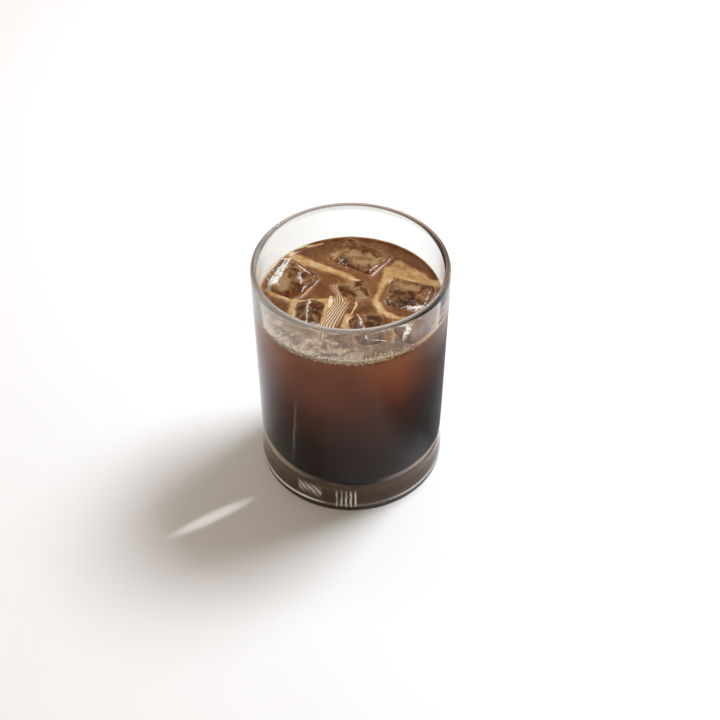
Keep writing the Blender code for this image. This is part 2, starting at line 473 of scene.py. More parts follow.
def turn(name, outline, material, steps):
    """A closed turned piece from (radius, height) points, inner side first."""
    wire = bpy.data.meshes.new(name + "_outline")
    wire.from_pydata([(radius, 0, height) for radius, height in outline],
                     [(place, place + 1) for place in range(len(outline) - 1)], [])
    guide = add_object(name + "_outline", wire)
    tree = turning_tree(material)
    piece = run_tree(name, tree, {"Outline": guide, "Points": len(outline), "Steps": steps})
    bpy.data.objects.remove(guide)
    bpy.data.node_groups.remove(tree)
    sketch = bmesh.new()
    sketch.from_mesh(piece.data)
    if sketch.calc_volume(signed=True) < 0:
        bmesh.ops.reverse_faces(sketch, faces=sketch.faces)
    sketch.to_mesh(piece.data)
    open_edges = sum(not edge.is_manifold for edge in sketch.edges)
    print(name, len(piece.data.polygons), "faces,", round(sketch.calc_volume() / MM ** 3 / 1000, 1),
          "cubic cm,", open_edges, "open edges")
    sketch.free()
    return piece


# %% [markdown]
# ### Soda glass
#
# Drinking glasses are pressed or blown from soda-lime glass, which bends light with an
# index of 1.5.  The mould leaves it very slightly wavy, which shows as soft wobbles in
# the lines seen through it.  No glass in use is clear all over: the inside of its lip is
# hazed, most at the front and the back, and the wall above a cold drink is damp.  The
# thick foot gathers light into a bright ring, a fan and a comb of streaks, and the wall
# shows one faint upright line of light; these are painted highlights, a pale haze laid
# where the light gleams.  Each of these is a mask worked out from the place on the
# glass, and where it lies a share of the light is scattered instead of let through.

# %% The hazed places of the glass and its painted highlights
STEAM_HAZE = 0.10  # share of light that the damp wall above the drink scatters
LIP_HAZE = 0.36  # share that the inside of the lip scatters
LIP_FULL_HAZE = 0.6  # the lip's upper share, where the haze is full
LIP_INSIDE = (0.22, 0.4)  # shares of the wall, from outside, between which the haze begins
HEEL_HIGHLIGHT_HAZE = 0.95  # painted highlight: share that the bright ring above the heel scatters
HEEL_RING = (5.6 * MM, 6.4 * MM)
HEEL_SOFT = 0.5 * MM
HEEL_DARK = 5.0 * MM  # painted shade: under this height the glass is tinted dark, where the heel bends all light away
COMB_HIGHLIGHT_HAZE = 0.7  # painted highlight: share that the comb of streaks scatters
COMB_SPACING = 2.05 * MM
COMB_SIDES = (-6.6 * MM, 2.2 * MM)
COMB_LEVELS = (6.5 * MM, 12.0 * MM)
FAN_HIGHLIGHT_HAZE = 0.6  # painted highlight: share that the fan at its left scatters
FAN_SPACING = 3.1 * MM
FAN_SIDES = (-22.0 * MM, -13.0 * MM)
FAN_LEVELS = (11.0 * MM, 12.5 * MM)
STREAK_ENDS = 3.0 * MM  # over this height the streaks fade out
STREAK_SIDES = 0.8 * MM  # and over this width
STREAK_SWAY = 0.55  # how far they sway, as a share of their spacing
GLINT_REFLECTION_HAZE = 0.07  # painted reflection: share that the faint upright line on the wall scatters
GLINT_WIDTH = 0.6 * MM
GLINT_LEFT = -26.7 * MM
GLINT_LEAN = -0.07
GLINT_LEVELS = (40 * MM, 58 * MM)
GLINT_ENDS = 10 * MM


def hazed_lip(tree, place, radius):
    """A pale haze on the inside of the lip, strongest at the front and the back."""
    lip = add_node(tree, "ShaderNodeMapRange", {
        "Value": place["Z"], "From Min": GLASS_HEIGHT - LIP_HEIGHT,
        "From Max": GLASS_HEIGHT - LIP_FULL_HAZE * LIP_HEIGHT, "To Max": LIP_HAZE})
    outer, inner = (RIM_RADIUS - share * RIM_WALL for share in LIP_INSIDE)
    inside = add_node(tree, "ShaderNodeMapRange", {"Value": radius, "From Min": outer, "From Max": inner})
    front_back = add_node(tree, "ShaderNodeMath", {0: place["Y"]}, operation="ABSOLUTE")
    front_and_back = add_node(tree, "ShaderNodeMapRange", {
        "Value": front_back, "From Min": 0.25 * RIM_RADIUS, "From Max": 0.85 * RIM_RADIUS,
        "To Min": 0.15, "To Max": 1.0})
    return combine(tree, "MULTIPLY", lip, inside, front_and_back)


def damp_wall(tree, place):
    """The wall above the drink is damp, most at the front left."""
    across = add_node(tree, "ShaderNodeMath", {
        0: place["Y"], 1: 0.5, 2: place["X"]}, operation="MULTIPLY_ADD")
    side = add_node(tree, "ShaderNodeMapRange", {
        "Value": across, "From Min": -0.9 * RIM_RADIUS, "From Max": 0.25 * RIM_RADIUS,
        "To Min": STEAM_HAZE, "To Max": 0.0})
    above = add_node(tree, "ShaderNodeMapRange", {
        "Value": place["Z"], "From Min": SURFACE_HEIGHT, "From Max": SURFACE_HEIGHT + 1 * MM})
    return combine(tree, "MULTIPLY", side, above)


def painted_heel_highlight(tree, place):
    """Painted highlight: a thin bright ring above the heel, strong at both sides and faint between them."""
    painted_light_ring = band(tree, place["Z"], *HEEL_RING, HEEL_SOFT)
    left = add_node(tree, "ShaderNodeMapRange", {
        "Value": place["X"], "From Min": -0.25 * FOOT_RADIUS, "From Max": -0.5 * FOOT_RADIUS,
        "To Min": 0.15 * HEEL_HIGHLIGHT_HAZE, "To Max": HEEL_HIGHLIGHT_HAZE})
    right = add_node(tree, "ShaderNodeMapRange", {
        "Value": place["X"], "From Min": 0.25 * FOOT_RADIUS, "From Max": 0.6 * FOOT_RADIUS,
        "To Max": 0.6 * HEEL_HIGHLIGHT_HAZE})
    return combine(tree, "MULTIPLY", painted_light_ring, combine(tree, "MAXIMUM", left, right))


def painted_highlight_streaks(tree, position, sides, levels, spacing, slant, fullness, haze_and_highlights):
    """Painted highlights: uneven pale streaks on the front of the foot, upright or slanted."""
    uneven = add_node(tree, "ShaderNodeTexNoise", {
        "Vector": position, "Scale": 1 / (2 * spacing), "Detail": 2.0})
    place = add_node(tree, "ShaderNodeSeparateXYZ", {"Vector": position}).outputs
    lean = add_node(tree, "ShaderNodeMath", {
        0: place["Z"], 1: slant, 2: place["X"]}, operation="MULTIPLY_ADD")
    streak = stripes(tree, lean, uneven, spacing, STREAK_SWAY * spacing, fullness)
    patchy = add_node(tree, "ShaderNodeMapRange", {
        "Value": uneven, "From Min": 0.35, "From Max": 0.55, "To Min": 0.3, "To Max": 1.0})
    front = add_node(tree, "ShaderNodeMath", {0: place["Y"], 1: 0.0}, operation="LESS_THAN")
    across = band(tree, place["X"], *sides, STREAK_SIDES)
    upright = band(tree, place["Z"], *levels, STREAK_ENDS)
    return combine(tree, "MULTIPLY", across, upright, streak, patchy, front, haze_and_highlights)


def painted_wall_reflection(tree, place):
    """Painted reflection: one faint upright line on the front of the wall."""
    lean = add_node(tree, "ShaderNodeMath", {
        0: place["Z"], 1: GLINT_LEAN, 2: place["X"]}, operation="MULTIPLY_ADD")
    line = band(tree, lean, GLINT_LEFT, GLINT_LEFT + GLINT_WIDTH, GLINT_WIDTH / 2)
    length = band(tree, place["Z"], *GLINT_LEVELS, GLINT_ENDS)
    front = add_node(tree, "ShaderNodeMath", {0: place["Y"], 1: 0.0}, operation="LESS_THAN")
    return combine(tree, "MULTIPLY", line, length, front, GLINT_REFLECTION_HAZE)


print("the bright ring lies", round(HEEL_RING[0] / MM, 1), "mm above the table")

# %% The glass and its finish
WAVE_LENGTH = 24 * MM
LAMP_TINT = (0.88, 0.88, 0.88, 1)
GLASS_STEPS = 256


def soda_glass():
    material, tree, shader = new_material(
        "pressed soda glass", Roughness=0.0, IOR=1.5,
        Transmission_Weight=1.0, Specular_Tint=(0.2, 0.2, 0.2, 1))
    position = add_node(tree, "ShaderNodeTexCoord").outputs["Object"]
    waves = add_node(tree, "ShaderNodeTexNoise", {
        "Vector": position, "Scale": 1 / WAVE_LENGTH, "Detail": 1.0, "Roughness": 0.4})
    bump = add_node(tree, "ShaderNodeBump", {
        "Height": waves.outputs["Fac"], "Strength": 0.3, "Distance": 0.4 * MM})
    tree.links.new(bump.outputs["Normal"], shader.inputs["Normal"])

    place = add_node(tree, "ShaderNodeSeparateXYZ", {"Vector": position}).outputs
    radius = from_axis(tree, position)
    # painted highlights: the heel ring, the fan, the comb and the upright line on the wall are pale haze laid
    # where light gleams; the lip and the damp wall are plain haze
    haze_and_highlights = combine(
        tree, "MAXIMUM", hazed_lip(tree, place, radius), damp_wall(tree, place), painted_heel_highlight(tree, place),
        painted_wall_reflection(tree, place),
        painted_highlight_streaks(tree, position, COMB_SIDES, COMB_LEVELS, COMB_SPACING, 0.0, 0.2, COMB_HIGHLIGHT_HAZE),
        painted_highlight_streaks(tree, position, FAN_SIDES, FAN_LEVELS, FAN_SPACING, 0.9, 1.7, FAN_HIGHLIGHT_HAZE))
    clear = add_node(tree, "ShaderNodeMath", {0: 1.0, 1: haze_and_highlights}, operation="SUBTRACT")
    tree.links.new(clear.outputs[0], shader.inputs["Transmission Weight"])

    # painted shade: the glass is tinted dark below the heel's ring, where the heel bends light away, but not
    # under the hollow of the foot
    above_heel = add_node(tree, "ShaderNodeMapRange", {
        "Value": place["Z"], "From Min": HEEL_DARK - HEEL_SOFT, "From Max": HEEL_DARK})
    under_hollow = add_node(tree, "ShaderNodeMapRange", {
        "Value": radius, "From Min": REST_RING_INNER + 2 * MM, "From Max": REST_RING_INNER})
    outside_heel_shade = combine(tree, "MAXIMUM", above_heel, under_hollow)
    tint = add_node(tree, "ShaderNodeMix", {
        0: outside_heel_shade, 6: linear("#5a5048"), 7: linear("#f2f2f0")}, data_type="RGBA")
    tree.links.new(tint.outputs[2], shader.inputs["Base Color"])
    let_lamps_in(tree, shader, LAMP_TINT)
    return material


tumbler = turn("drinking_glass", tumbler_outline(), soda_glass(), GLASS_STEPS)

# %% [markdown]
# ## Ice cubes
#
# Each cube in the frame is a plain block with rounded edges.  Real ice is melted into
# shallow waves, and through its clear surface the coffee shows bent and broken.  A
# Remesh modifier gives a copy of each block an even skin of small faces, and every
# point of it then moves outwards by a little noise.
#
# Frost, clouds and foam lie in places of their own, which no noise would hit.  Along some
# ridges the white frost also stands in for the light that catches them, a painted
# highlight.  The frost, clouds and foam are drawn as brush strokes over the drink, each a
# path with a width, and stored as a number at each point of a mesh, which a material can
# read.

# %% Strokes
STROKE_WAVE = 2.6 * MM  # length of the wander along a stroke's edge
WANDER_SEEDS = (71, 72)  # one for each direction of the wander


def stroke_mask(points, stroke, edge):
    """How far a stroke covers each point.  A stroke is a path of (x, y, half width) in mm."""
    inside = np.full(len(points), -1.0)
    for (x0, y0, width0), (x1, y1, width1) in zip(stroke, stroke[1:]):
        start = np.array([x0, y0]) * MM
        run = np.array([x1, y1]) * MM - start
        share = np.clip((points[:, :2] - start) @ run / (run @ run), 0, 1)
        gap = np.linalg.norm(points[:, :2] - start - share[:, None] * run, axis=1)
        inside = np.maximum(inside, (width0 + (width1 - width0) * share) * MM - gap)
    return np.clip(inside / edge + 0.5, 0, 1)


def strokes_mask(points, strokes, edge, wobble):
    """The same for several strokes, with edges that wander by the wobble."""
    moved = points.copy()
    for axis, seed in enumerate(WANDER_SEEDS):
        moved[:, axis] += (noise_at(points, STROKE_WAVE, seed) - 0.5) * 2 * wobble
    return np.max([stroke_mask(moved, stroke, edge) for stroke in strokes], axis=0)


def side_of(points, stroke):
    """How far each point lies to the right of a stroke's path, in metres."""
    path = np.array([(x, y) for x, y, width in stroke]) * MM
    order = np.argsort(path[:, 1])
    return points[:, 0] - np.interp(points[:, 1], path[order, 1], path[order, 0])


def paint(mesh, name, values):
    """Stores a number between 0 and 1 at each point of a mesh, for its material."""
    mesh.attributes.new(name, "FLOAT", "POINT").data.foreach_set("value", np.clip(values, 0, 1))


halfway = stroke_mask(np.array([[0.0, 0.0, 0.0]]), [(-1, 0, 0), (1, 0, 0)], 1 * MM)[0]
print("a point on a stroke's edge is covered to", halfway)

# %% Mesh helpers
def frame_copy(node, name):
    """A welded copy of a frame node's mesh, as a new object."""
    mesh = frame["nodes"][node].data.copy()
    mesh.materials.clear()
    sketch = bmesh.new()
    sketch.from_mesh(mesh)
    bmesh.ops.remove_doubles(sketch, verts=sketch.verts, dist=0.000002)
    sketch.to_mesh(mesh)
    sketch.free()
    return add_object(name, mesh)


def apply_modifiers(piece):
    """Replaces a piece's mesh by what its modifiers make of it."""
    graph = bpy.context.evaluated_depsgraph_get()
    mesh = bpy.data.meshes.new_from_object(piece.evaluated_get(graph))
    mesh.name = piece.name
    piece.modifiers.clear()
    piece.data = mesh
    return piece


def coat(piece, material):
    """Gives the whole of a piece one material."""
    mesh = piece.data
    mesh.materials.clear()
    mesh.materials.append(material)
    mesh.polygons.foreach_set("material_index", [0] * len(mesh.polygons))


def points_of(mesh, what="co"):
    values = np.empty(len(mesh.vertices) * 3)
    mesh.vertices.foreach_get(what, values)
    return values.reshape(-1, 3)


def set_points(mesh, points):
    mesh.vertices.foreach_set("co", points.ravel())
    mesh.update()


def noise_at(points, wave, seed):
    """Smooth noise between 0 and 1 at each point, with bumps one wave apart."""
    shift = Vector((seed * 17.3, seed * 5.7, seed * 11.1))
    return np.array([noise.noise(Vector(point) / wave + shift) * 0.5 + 0.5 for point in points])


print("noise goes from 0 to 1, such as", round(noise_at(np.zeros((1, 3)), MM, 1)[0], 2))

# %% Where the ice is frosted, cloudy or full of crystals
FROST_AND_HIGHLIGHT_STROKES = [  # white frozen bands, ridges and crumbs; along the thin ridges the white is a painted highlight
    [(-24.8, 19.4, 1.0), (-27.6, 13.0, 1.6), (-31.0, 6.4, 1.7), (-33.4, 2.4, 1.1)],
    [(-15.6, 2.4, 0.38), (-17.2, -8.0, 0.24), (-17.6, -18.5, 0.36)],
    [(2.5, -12.3, 0.28), (4.1, -17.6, 0.34), (6.0, -25.7, 0.36)],
    [(13.2, -10.5, 0.24), (15.4, -17.5, 0.32)],
    [(23.6, -16.5, 0.5), (22.4, -21.0, 1.1), (19.8, -26.0, 0.3)],
    [(32.5, -6.0, 0.5), (32.0, -12.0, 0.7)],
    [(15.5, -6.8, 0.8), (19.6, -9.2, 1.7), (27.4, -7.8, 1.4)],
    [(1.4, 14.6, 0.8), (4.2, 13.2, 0.8)],
    [(9.4, 8.6, 0.6), (8.6, 11.6, 0.7)],
    [(-12.8, 21.6, 0.4), (-3.4, 15.4, 0.4)],
    [(-8.0, 4.6, 0.7), (-15.2, 1.4, 0.8)],
]
SPECK_STROKES = [  # where loose crystals and small bubbles cling to the ice
    [(-12.0, 26.0, 2.6), (-4.0, 18.0, 2.4)],
    [(12.5, 3.0, 2.2), (14.6, -4.0, 1.6), (19.0, -9.0, 2.2), (28.0, -8.0, 2.0)],
    [(-34.0, 4.0, 1.6), (-27.0, 20.0, 1.6)],
    [(2.5, -12.3, 0.8), (6.0, -25.7, 0.8)],
    [(-15.6, 2.4, 1.2), (-17.6, -18.5, 0.7)],
]
PALE_STROKES = [  # cloudy patches inside the ice
    [(16.5, 5.0, 1.8), (22.0, 3.6, 2.6), (27.5, 2.5, 1.0)],
    [(-33.0, 1.5, 1.5), (-28.0, 4.0, 2.6), (-25.5, 12.0, 1.8)],
    [(-10.0, 22.0, 2.0), (-1.0, 25.0, 4.0), (8.0, 22.0, 3.0)],
    [(-24.0, -6.0, 1.6), (-22.5, -15.0, 1.4)],
    [(0.0, 6.0, 1.5), (4.0, 0.0, 2.0), (3.5, -6.0, 1.5)],
]
print(len(FROST_AND_HIGHLIGHT_STROKES + SPECK_STROKES + PALE_STROKES), "strokes on the ice")

# %% The cubes and their finish
ICE_NAMES = sorted(name for name in frame["nodes"] if name.startswith("ice"))
ICE_FACE = 0.42 * MM
MELT_WAVE = 7 * MM
MELT_DEPTH = 0.5 * MM
RIPPLE_WAVE = 2.2 * MM
RIPPLE_DEPTH = 0.10 * MM
RIPPLE_SEED = 50  # added to the cube's own seed
FROST_GRAIN = 0.8 * MM
FROST_CONTRAST = 4
FROST_SEED = 33
FROST_EDGE = 0.5 * MM  # both its soft edge and how far that wanders
PALE_EDGE = 1.5 * MM
PALE_WANDER = 1.2 * MM
SPECK_EDGE = 0.5 * MM
SPECK_WANDER = 0.3 * MM
PIT_SIZE = 1.4 * MM
CLOUD_SIZE = 5 * MM


def clear_ice():
    material, tree, shader = new_material(
        "clear melting ice", Roughness=0.0, IOR=1.31, Transmission_Weight=1.0)
    place = add_node(tree, "ShaderNodeTexCoord").outputs["Object"]
    pits = add_node(tree, "ShaderNodeTexNoise", {
        "Vector": place, "Scale": 1 / PIT_SIZE, "Detail": 2.0, "Roughness": 0.5})
    cloud = add_node(tree, "ShaderNodeTexNoise", {
        "Vector": place, "Scale": 1 / CLOUD_SIZE, "Detail": 5.0, "Roughness": 0.65, "Distortion": 0.8})
    frost, pale = (add_node(tree, "ShaderNodeAttribute", attribute_name=name).outputs["Fac"]
                   for name in ("frost", "pale"))
    cloudy = add_node(tree, "ShaderNodeMath", {0: pale, 1: 0.16, 2: cloud}, operation="MULTIPLY_ADD")
    clear = add_node(tree, "ShaderNodeMapRange", {
        "Value": cloudy, "From Min": 0.46, "From Max": 0.72, "To Min": 0.97, "To Max": 0.35})
    bare = add_node(tree, "ShaderNodeMath", {0: 1.0, 1: frost}, operation="SUBTRACT")
    through = combine(tree, "MULTIPLY", clear, bare)
    tree.links.new(through.outputs[0], shader.inputs["Transmission Weight"])
    tint = ramp(tree, cloudy, [
        (0.35, "#e0b88a"), (0.55, "#c79c6c"), (0.75, "#b3946c")])
    # the white of the frost, which is partly a painted highlight along the ridges
    whitened = add_node(tree, "ShaderNodeMix", {0: frost, 6: tint, 7: linear("#ebe8de")}, data_type="RGBA")
    tree.links.new(whitened.outputs[2], shader.inputs["Base Color"])
    bump = add_node(tree, "ShaderNodeBump", {
        "Height": pits.outputs["Fac"], "Strength": 0.35, "Distance": 0.15 * MM})
    tree.links.new(bump.outputs["Normal"], shader.inputs["Normal"])
    let_lamps_in(tree, shader, linear("#f4e6d4"))
    return material


def melted_cube(node, seed, material):
    piece = frame_copy(node, node.replace("ice", "cube"))
    remesh = piece.modifiers.new("Even skin", "REMESH")
    remesh.mode = "VOXEL"
    remesh.voxel_size = ICE_FACE
    smooth = piece.modifiers.new("Soften", "SMOOTH")
    smooth.factor = 0.5
    smooth.iterations = 4
    apply_modifiers(piece)
    mesh = piece.data
    points = points_of(mesh)
    outwards = points_of(mesh, "normal")
    push = noise_at(points, MELT_WAVE, seed) * MELT_DEPTH
    push += noise_at(points, RIPPLE_WAVE, seed + RIPPLE_SEED) * RIPPLE_DEPTH
    points = points + outwards * push[:, None]
    upper = points[:, 2] > SURFACE_HEIGHT
    grain = np.clip(noise_at(points, FROST_GRAIN, FROST_SEED) * FROST_CONTRAST - 1.0, 0, 1)
    frost = strokes_mask(points, FROST_AND_HIGHLIGHT_STROKES, FROST_EDGE, FROST_EDGE) * upper * grain
    paint(mesh, "frost", frost)
    paint(mesh, "pale", strokes_mask(points, PALE_STROKES, PALE_EDGE, PALE_WANDER))
    paint(mesh, "speck", strokes_mask(points, SPECK_STROKES, SPECK_EDGE, SPECK_WANDER) * upper)
    set_points(mesh, points)
    mesh.shade_smooth()
    coat(piece, material)
    return piece


ice_finish = clear_ice()
cubes = {node: melted_cube(node, seed, ice_finish) for seed, node in enumerate(ICE_NAMES, 1)}
for node, cube in cubes.items():
    print(cube.name, len(cube.data.polygons), "faces")

# %% [markdown]
# ## Coffee
#
# The drink fills the glass, so its skin has to reach just into the glass wall: a gap
# would show as a silvery film of air.  The cubes sit in hollows of it.  Black coffee is
# so dark that light only enters a little way, so it is an opaque body, and its light and
# shade are painted into its colour: it runs from red-brown at the top, where light comes
# in from above, to near black below, with a pale underside as if lit through the foot,
# a pale painted band of light in the bottom corner at both sides, and painted shade on
# the lamp's side.

# %% Ice hollows and the coffee body
SKIN_REACH = 0.15 * MM
HOLLOW_INSET = 0.12 * MM
COFFEE_STEPS = 144
HOLLOW_RADIUS = inner_radius(SURFACE_HEIGHT) - 1.0 * MM
HOLLOW_LEVEL = 50 * MM
DRIFT = 4 * MM  # how far the layers of colour rise and sink
DRIFT_WAVE = 30 * MM
AMBER_WAVE = 6 * MM
SOAK = 0.9  # clear coffee swallows light that a matt body would show
LAMP_SIDE_SHADE = 0.19  # painted shade: the colour's factor at the lamp's side, which darkens the side that the lamp lights
LEFT_GLOW = 1.7  # how much wider the painted light in the bottom corner is at the left


def hollow_cutters():
    """All the cubes, a little smaller, to cut the drink with."""
    cutters = bpy.data.collections.new("hollows")
    bpy.context.scene.collection.children.link(cutters)
    for node in ICE_NAMES:
        cutter = frame_copy(node, node + "_hollow")
        bpy.context.collection.objects.unlink(cutter)
        cutters.objects.link(cutter)
        points = points_of(cutter.data)
        set_points(cutter.data, points - points_of(cutter.data, "normal") * HOLLOW_INSET)
    return cutters


def cut_hollows(piece, cutters):
    finish = piece.data.materials[-1]
    cut = piece.modifiers.new("Hollows", "BOOLEAN")
    cut.operation = "DIFFERENCE"
    cut.operand_type = "COLLECTION"
    cut.collection = cutters
    cut.solver = "MANIFOLD"
    apply_modifiers(piece)
    coat(piece, finish)


def black_coffee():
    material, tree, shader = new_material(
        "black coffee", Roughness=0.6, IOR=1.33, Specular_IOR_Level=0.05)
    place = add_node(tree, "ShaderNodeTexCoord").outputs["Object"]
    across, _, level = add_node(tree, "ShaderNodeSeparateXYZ", {"Vector": place}).outputs
    clouds = add_node(tree, "ShaderNodeTexNoise", {
        "Vector": place, "Scale": 1 / DRIFT_WAVE, "Detail": 2.0, "Distortion": 0.6})
    drift = add_node(tree, "ShaderNodeMapRange", {
        "Value": clouds, "From Min": 0.3, "From Max": 0.7, "To Min": -DRIFT, "To Max": DRIFT})
    share = add_node(tree, "ShaderNodeMapRange", {
        "Value": combine(tree, "ADD", level, drift), "From Min": BASE_THICKNESS, "From Max": SURFACE_HEIGHT})
    # painted light and shade: red-brown at the top, where light comes in, near black below, and the pale
    # lowest stop paints the underside as if lit through the foot
    colour = ramp(tree, share, [
        (0.0, "#866c56"), (0.05, "#1f1612"), (0.3, "#291914"),
        (0.6, "#502c21"), (0.85, "#8f5239"), (1.0, "#b0704c")])
    inside = add_node(tree, "ShaderNodeMath", {
        0: from_axis(tree, place), 1: HOLLOW_RADIUS}, operation="LESS_THAN")
    high = add_node(tree, "ShaderNodeMath", {0: level, 1: HOLLOW_LEVEL}, operation="GREATER_THAN")
    hollow = combine(tree, "MULTIPLY", inside, high)
    streaks = add_node(tree, "ShaderNodeTexNoise", {
        "Vector": place, "Scale": 1 / AMBER_WAVE, "Detail": 4.0, "Distortion": 1.5})
    amber = ramp(tree, streaks, [
        (0.3, "#5a2c16"), (0.44, "#a0683a"), (0.54, "#c8935c"), (0.66, "#e6c9a2")])
    # painted shade: the colour is darkened towards the side that the lamp lights
    painted_side_shade = add_node(tree, "ShaderNodeMapRange", {
        "Value": across, "From Min": 0.3 * LOW_RADIUS, "From Max": 0.9 * LOW_RADIUS,
        "To Min": SOAK, "To Max": LAMP_SIDE_SHADE}, interpolation_type="SMOOTHSTEP")
    dimmed = add_node(tree, "ShaderNodeVectorMath", {0: colour, "Scale": painted_side_shade}, operation="SCALE")
    # painted light: a pale band in the bottom corner at both sides, wider at the left
    corner_top = add_node(tree, "ShaderNodeMapRange", {
        "Value": across, "From Min": -LOW_RADIUS, "From Max": -0.5 * LOW_RADIUS,
        "To Min": BASE_THICKNESS + LEFT_GLOW * INNER_CORNER, "To Max": BASE_THICKNESS + INNER_CORNER})
    corner_share = add_node(tree, "ShaderNodeMapRange", {
        "Value": level, "From Min": BASE_THICKNESS, "From Max": corner_top})
    painted_light_ring = ramp(tree, corner_share, [
        (0.15, "#000000"), (0.3, "#ffffff"), (0.55, "#ffffff"), (0.75, "#000000")])
    sideways = add_node(tree, "ShaderNodeMath", {0: across}, operation="ABSOLUTE")
    sides = add_node(tree, "ShaderNodeMapRange", {
        "Value": sideways, "From Min": 0.25 * LOW_RADIUS, "From Max": 0.8 * LOW_RADIUS})
    lit = add_node(tree, "ShaderNodeMix", {
        0: combine(tree, "MULTIPLY", painted_light_ring, sides), 6: dimmed, 7: linear("#c0b0a2")}, data_type="RGBA")
    body = add_node(tree, "ShaderNodeMix", {0: hollow, 6: lit.outputs[2], 7: amber}, data_type="RGBA")
    tree.links.new(body.outputs[2], shader.inputs["Base Color"])
    return material


cutters = hollow_cutters()
coffee_top = SURFACE_HEIGHT - CREMA_THICKNESS
coffee = turn("coffee_body", inside_outline(-SKIN_REACH, coffee_top) + [(0, coffee_top)],
              black_coffee(), COFFEE_STEPS)
cut_hollows(coffee, cutters)
print("coffee with hollows", len(coffee.data.polygons), "faces")

# %% [markdown]
# ## Crema
#
# Crema is the tan film of fine foam that hot coffee leaves.  Over ice it breaks into
# swirls, and stirring draws some of it out into threads, like marbled paper.  The strokes
# below say where pale foam, threads and bare coffee lie.  The film climbs a little where
# it wets the glass and the cubes, so each point of its top is raised by how close it is
# to them, and pale foam stands a little proud.

# %% Where the foam lies
CREAM_STROKES = [  # pale foam that drifted together along the ice
    [(9.7, -2.3, 1.1), (12.6, 7.0, 1.1), (16.6, 15.5, 3.6),
     (24.0, 14.0, 4.6), (31.0, 9.4, 2.8), (37.2, 6.0, 1.0)],
    [(15.0, 17.0, 1.0), (20.0, 21.0, 2.0), (24.0, 17.0, 2.0)],
    [(-34.6, 3.6, 0.6), (-30.7, 0.8, 1.2), (-25.5, -2.0, 0.8)],
    [(9.9, -3.0, 1.4), (12.2, -9.0, 1.8), (17.0, -11.8, 1.1), (23.0, -13.4, 0.9), (28.0, -15.5, 0.6)],
    [(-28.0, 27.6, 0.8), (-22.0, 24.0, 2.6), (-13.5, 19.2, 2.0), (-3.0, 13.8, 1.6), (5.0, 7.8, 0.8)],
    [(-25.0, -2.6, 0.7), (-20.0, -3.2, 1.1), (-10.5, -2.4, 1.6), (-7.2, -1.2, 0.7)],
    [(-23.6, -3.4, 1.0), (-23.8, -12.0, 1.7)],
    [(-10.0, -5.0, 1.0), (-11.4, -12.0, 1.5), (-13.0, -18.0, 1.0)],
    [(-1.0, -12.0, 2.0), (-2.6, -18.0, 1.4), (0.0, -24.0, 0.8)],
    [(17.4, -15.0, 0.9), (17.0, -23.0, 1.0)],
]
THREAD_STROKES = [  # fine bright threads
    [(-0.3, 7.6, 0.3), (1.9, 2.0, 0.35), (2.2, -4.7, 0.4), (0.2, -10.0, 0.3)],
    [(-31.0, 26.0, 0.3), (-24.0, 29.5, 0.4), (-12.0, 34.0, 0.3)],
]
MARBLE_STROKES = [  # where the threads are drawn out side by side
    [(-7.4, 7.0, 0.5), (-5.8, 5.4, 1.5), (-4.2, 2.0, 2.2), (-3.9, -3.0, 2.8),
     (-6.2, -9.6, 3.2), (-9.0, -16.6, 3.0), (-11.0, -22.5, 1.6), (-12.0, -27.0, 0.3)],
]
PEARL_STROKES = [  # the whitest foam, beside the threads
    [(-8.0, 0.5, 0.4), (-8.0, -3.0, 0.9), (-8.6, -6.5, 0.4)],
]
DARK_STROKES = [  # bare coffee between the foam
    [(-13.0, 6.6, 1.8), (-19.5, 10.0, 1.4)],
    [(5.0, -15.5, 2.4), (14.0, -15.5, 2.6)],
    [(4.0, -29.0, 3.0), (12.0, -31.0, 3.6), (22.0, -27.0, 3.0)],
    [(-19.0, -8.0, 2.0), (-17.0, -15.0, 2.0)],
    [(4.0, 12.0, 1.6), (10.0, 3.0, 1.4)],
]
print(sum(len(stroke) for stroke in CREAM_STROKES), "points along the tongues of foam")

# %% The crema film and its finish
CREMA_RINGS = 96
CREMA_STEPS = 384
MENISCUS_RISE = 1.3 * MM
MENISCUS_WIDTH = 2.6 * MM
MENISCUS_POWER = 2.4  # how steeply the edge turns up
OVERLAP = 0.05 * MM  # how far the film reaches into the coffee
CLIMB = 0.7 * MM
CLIMB_REACH = 1.1 * MM
FAR = 10 * MM  # the cubes have no effect beyond this
FOAM_RELIEF = 0.35 * MM
RELIEF_EDGE = 1.0 * MM
TONGUE_WANDER = 0.6 * MM  # how far the edge of the pale foam wanders
THREAD_SPACING = 1.15 * MM
THREAD_WAVE = 13 * MM
THREAD_SWAY = 6.0 * MM
WARP_WAVE = 14 * MM
WARP = 30 * MM  # how far the noise bends the patches of foam
PATCH_SIZE = 22 * MM
MOTTLE_SIZE = 4.5 * MM
BUBBLE_SPACING = 0.95 * MM


def crema_outline():
    edge = inner_radius(SURFACE_HEIGHT) + SKIN_REACH
    points = [(0, coffee_top - OVERLAP), (edge, coffee_top - OVERLAP)]
    for step in range(CREMA_RINGS + 1):
        share = step / CREMA_RINGS
        radius = edge * (1 - share)
        near_wall = max(0, 1 - (edge - radius) / MENISCUS_WIDTH)
        points.append((radius, SURFACE_HEIGHT + MENISCUS_RISE * near_wall ** MENISCUS_POWER))
    return points


def ice_distance(points):
    """How far each point is from the nearest cube."""
    far = np.full(len(points), FAR)
    for cube in cubes.values():
        sketch = bmesh.new()
        sketch.from_mesh(cube.data)
        tree = BVHTree.FromBMesh(sketch)
        sketch.free()
        near = [tree.find_nearest(Vector(point), FAR)[3] or FAR for point in points]
        far = np.minimum(far, near)
    return far


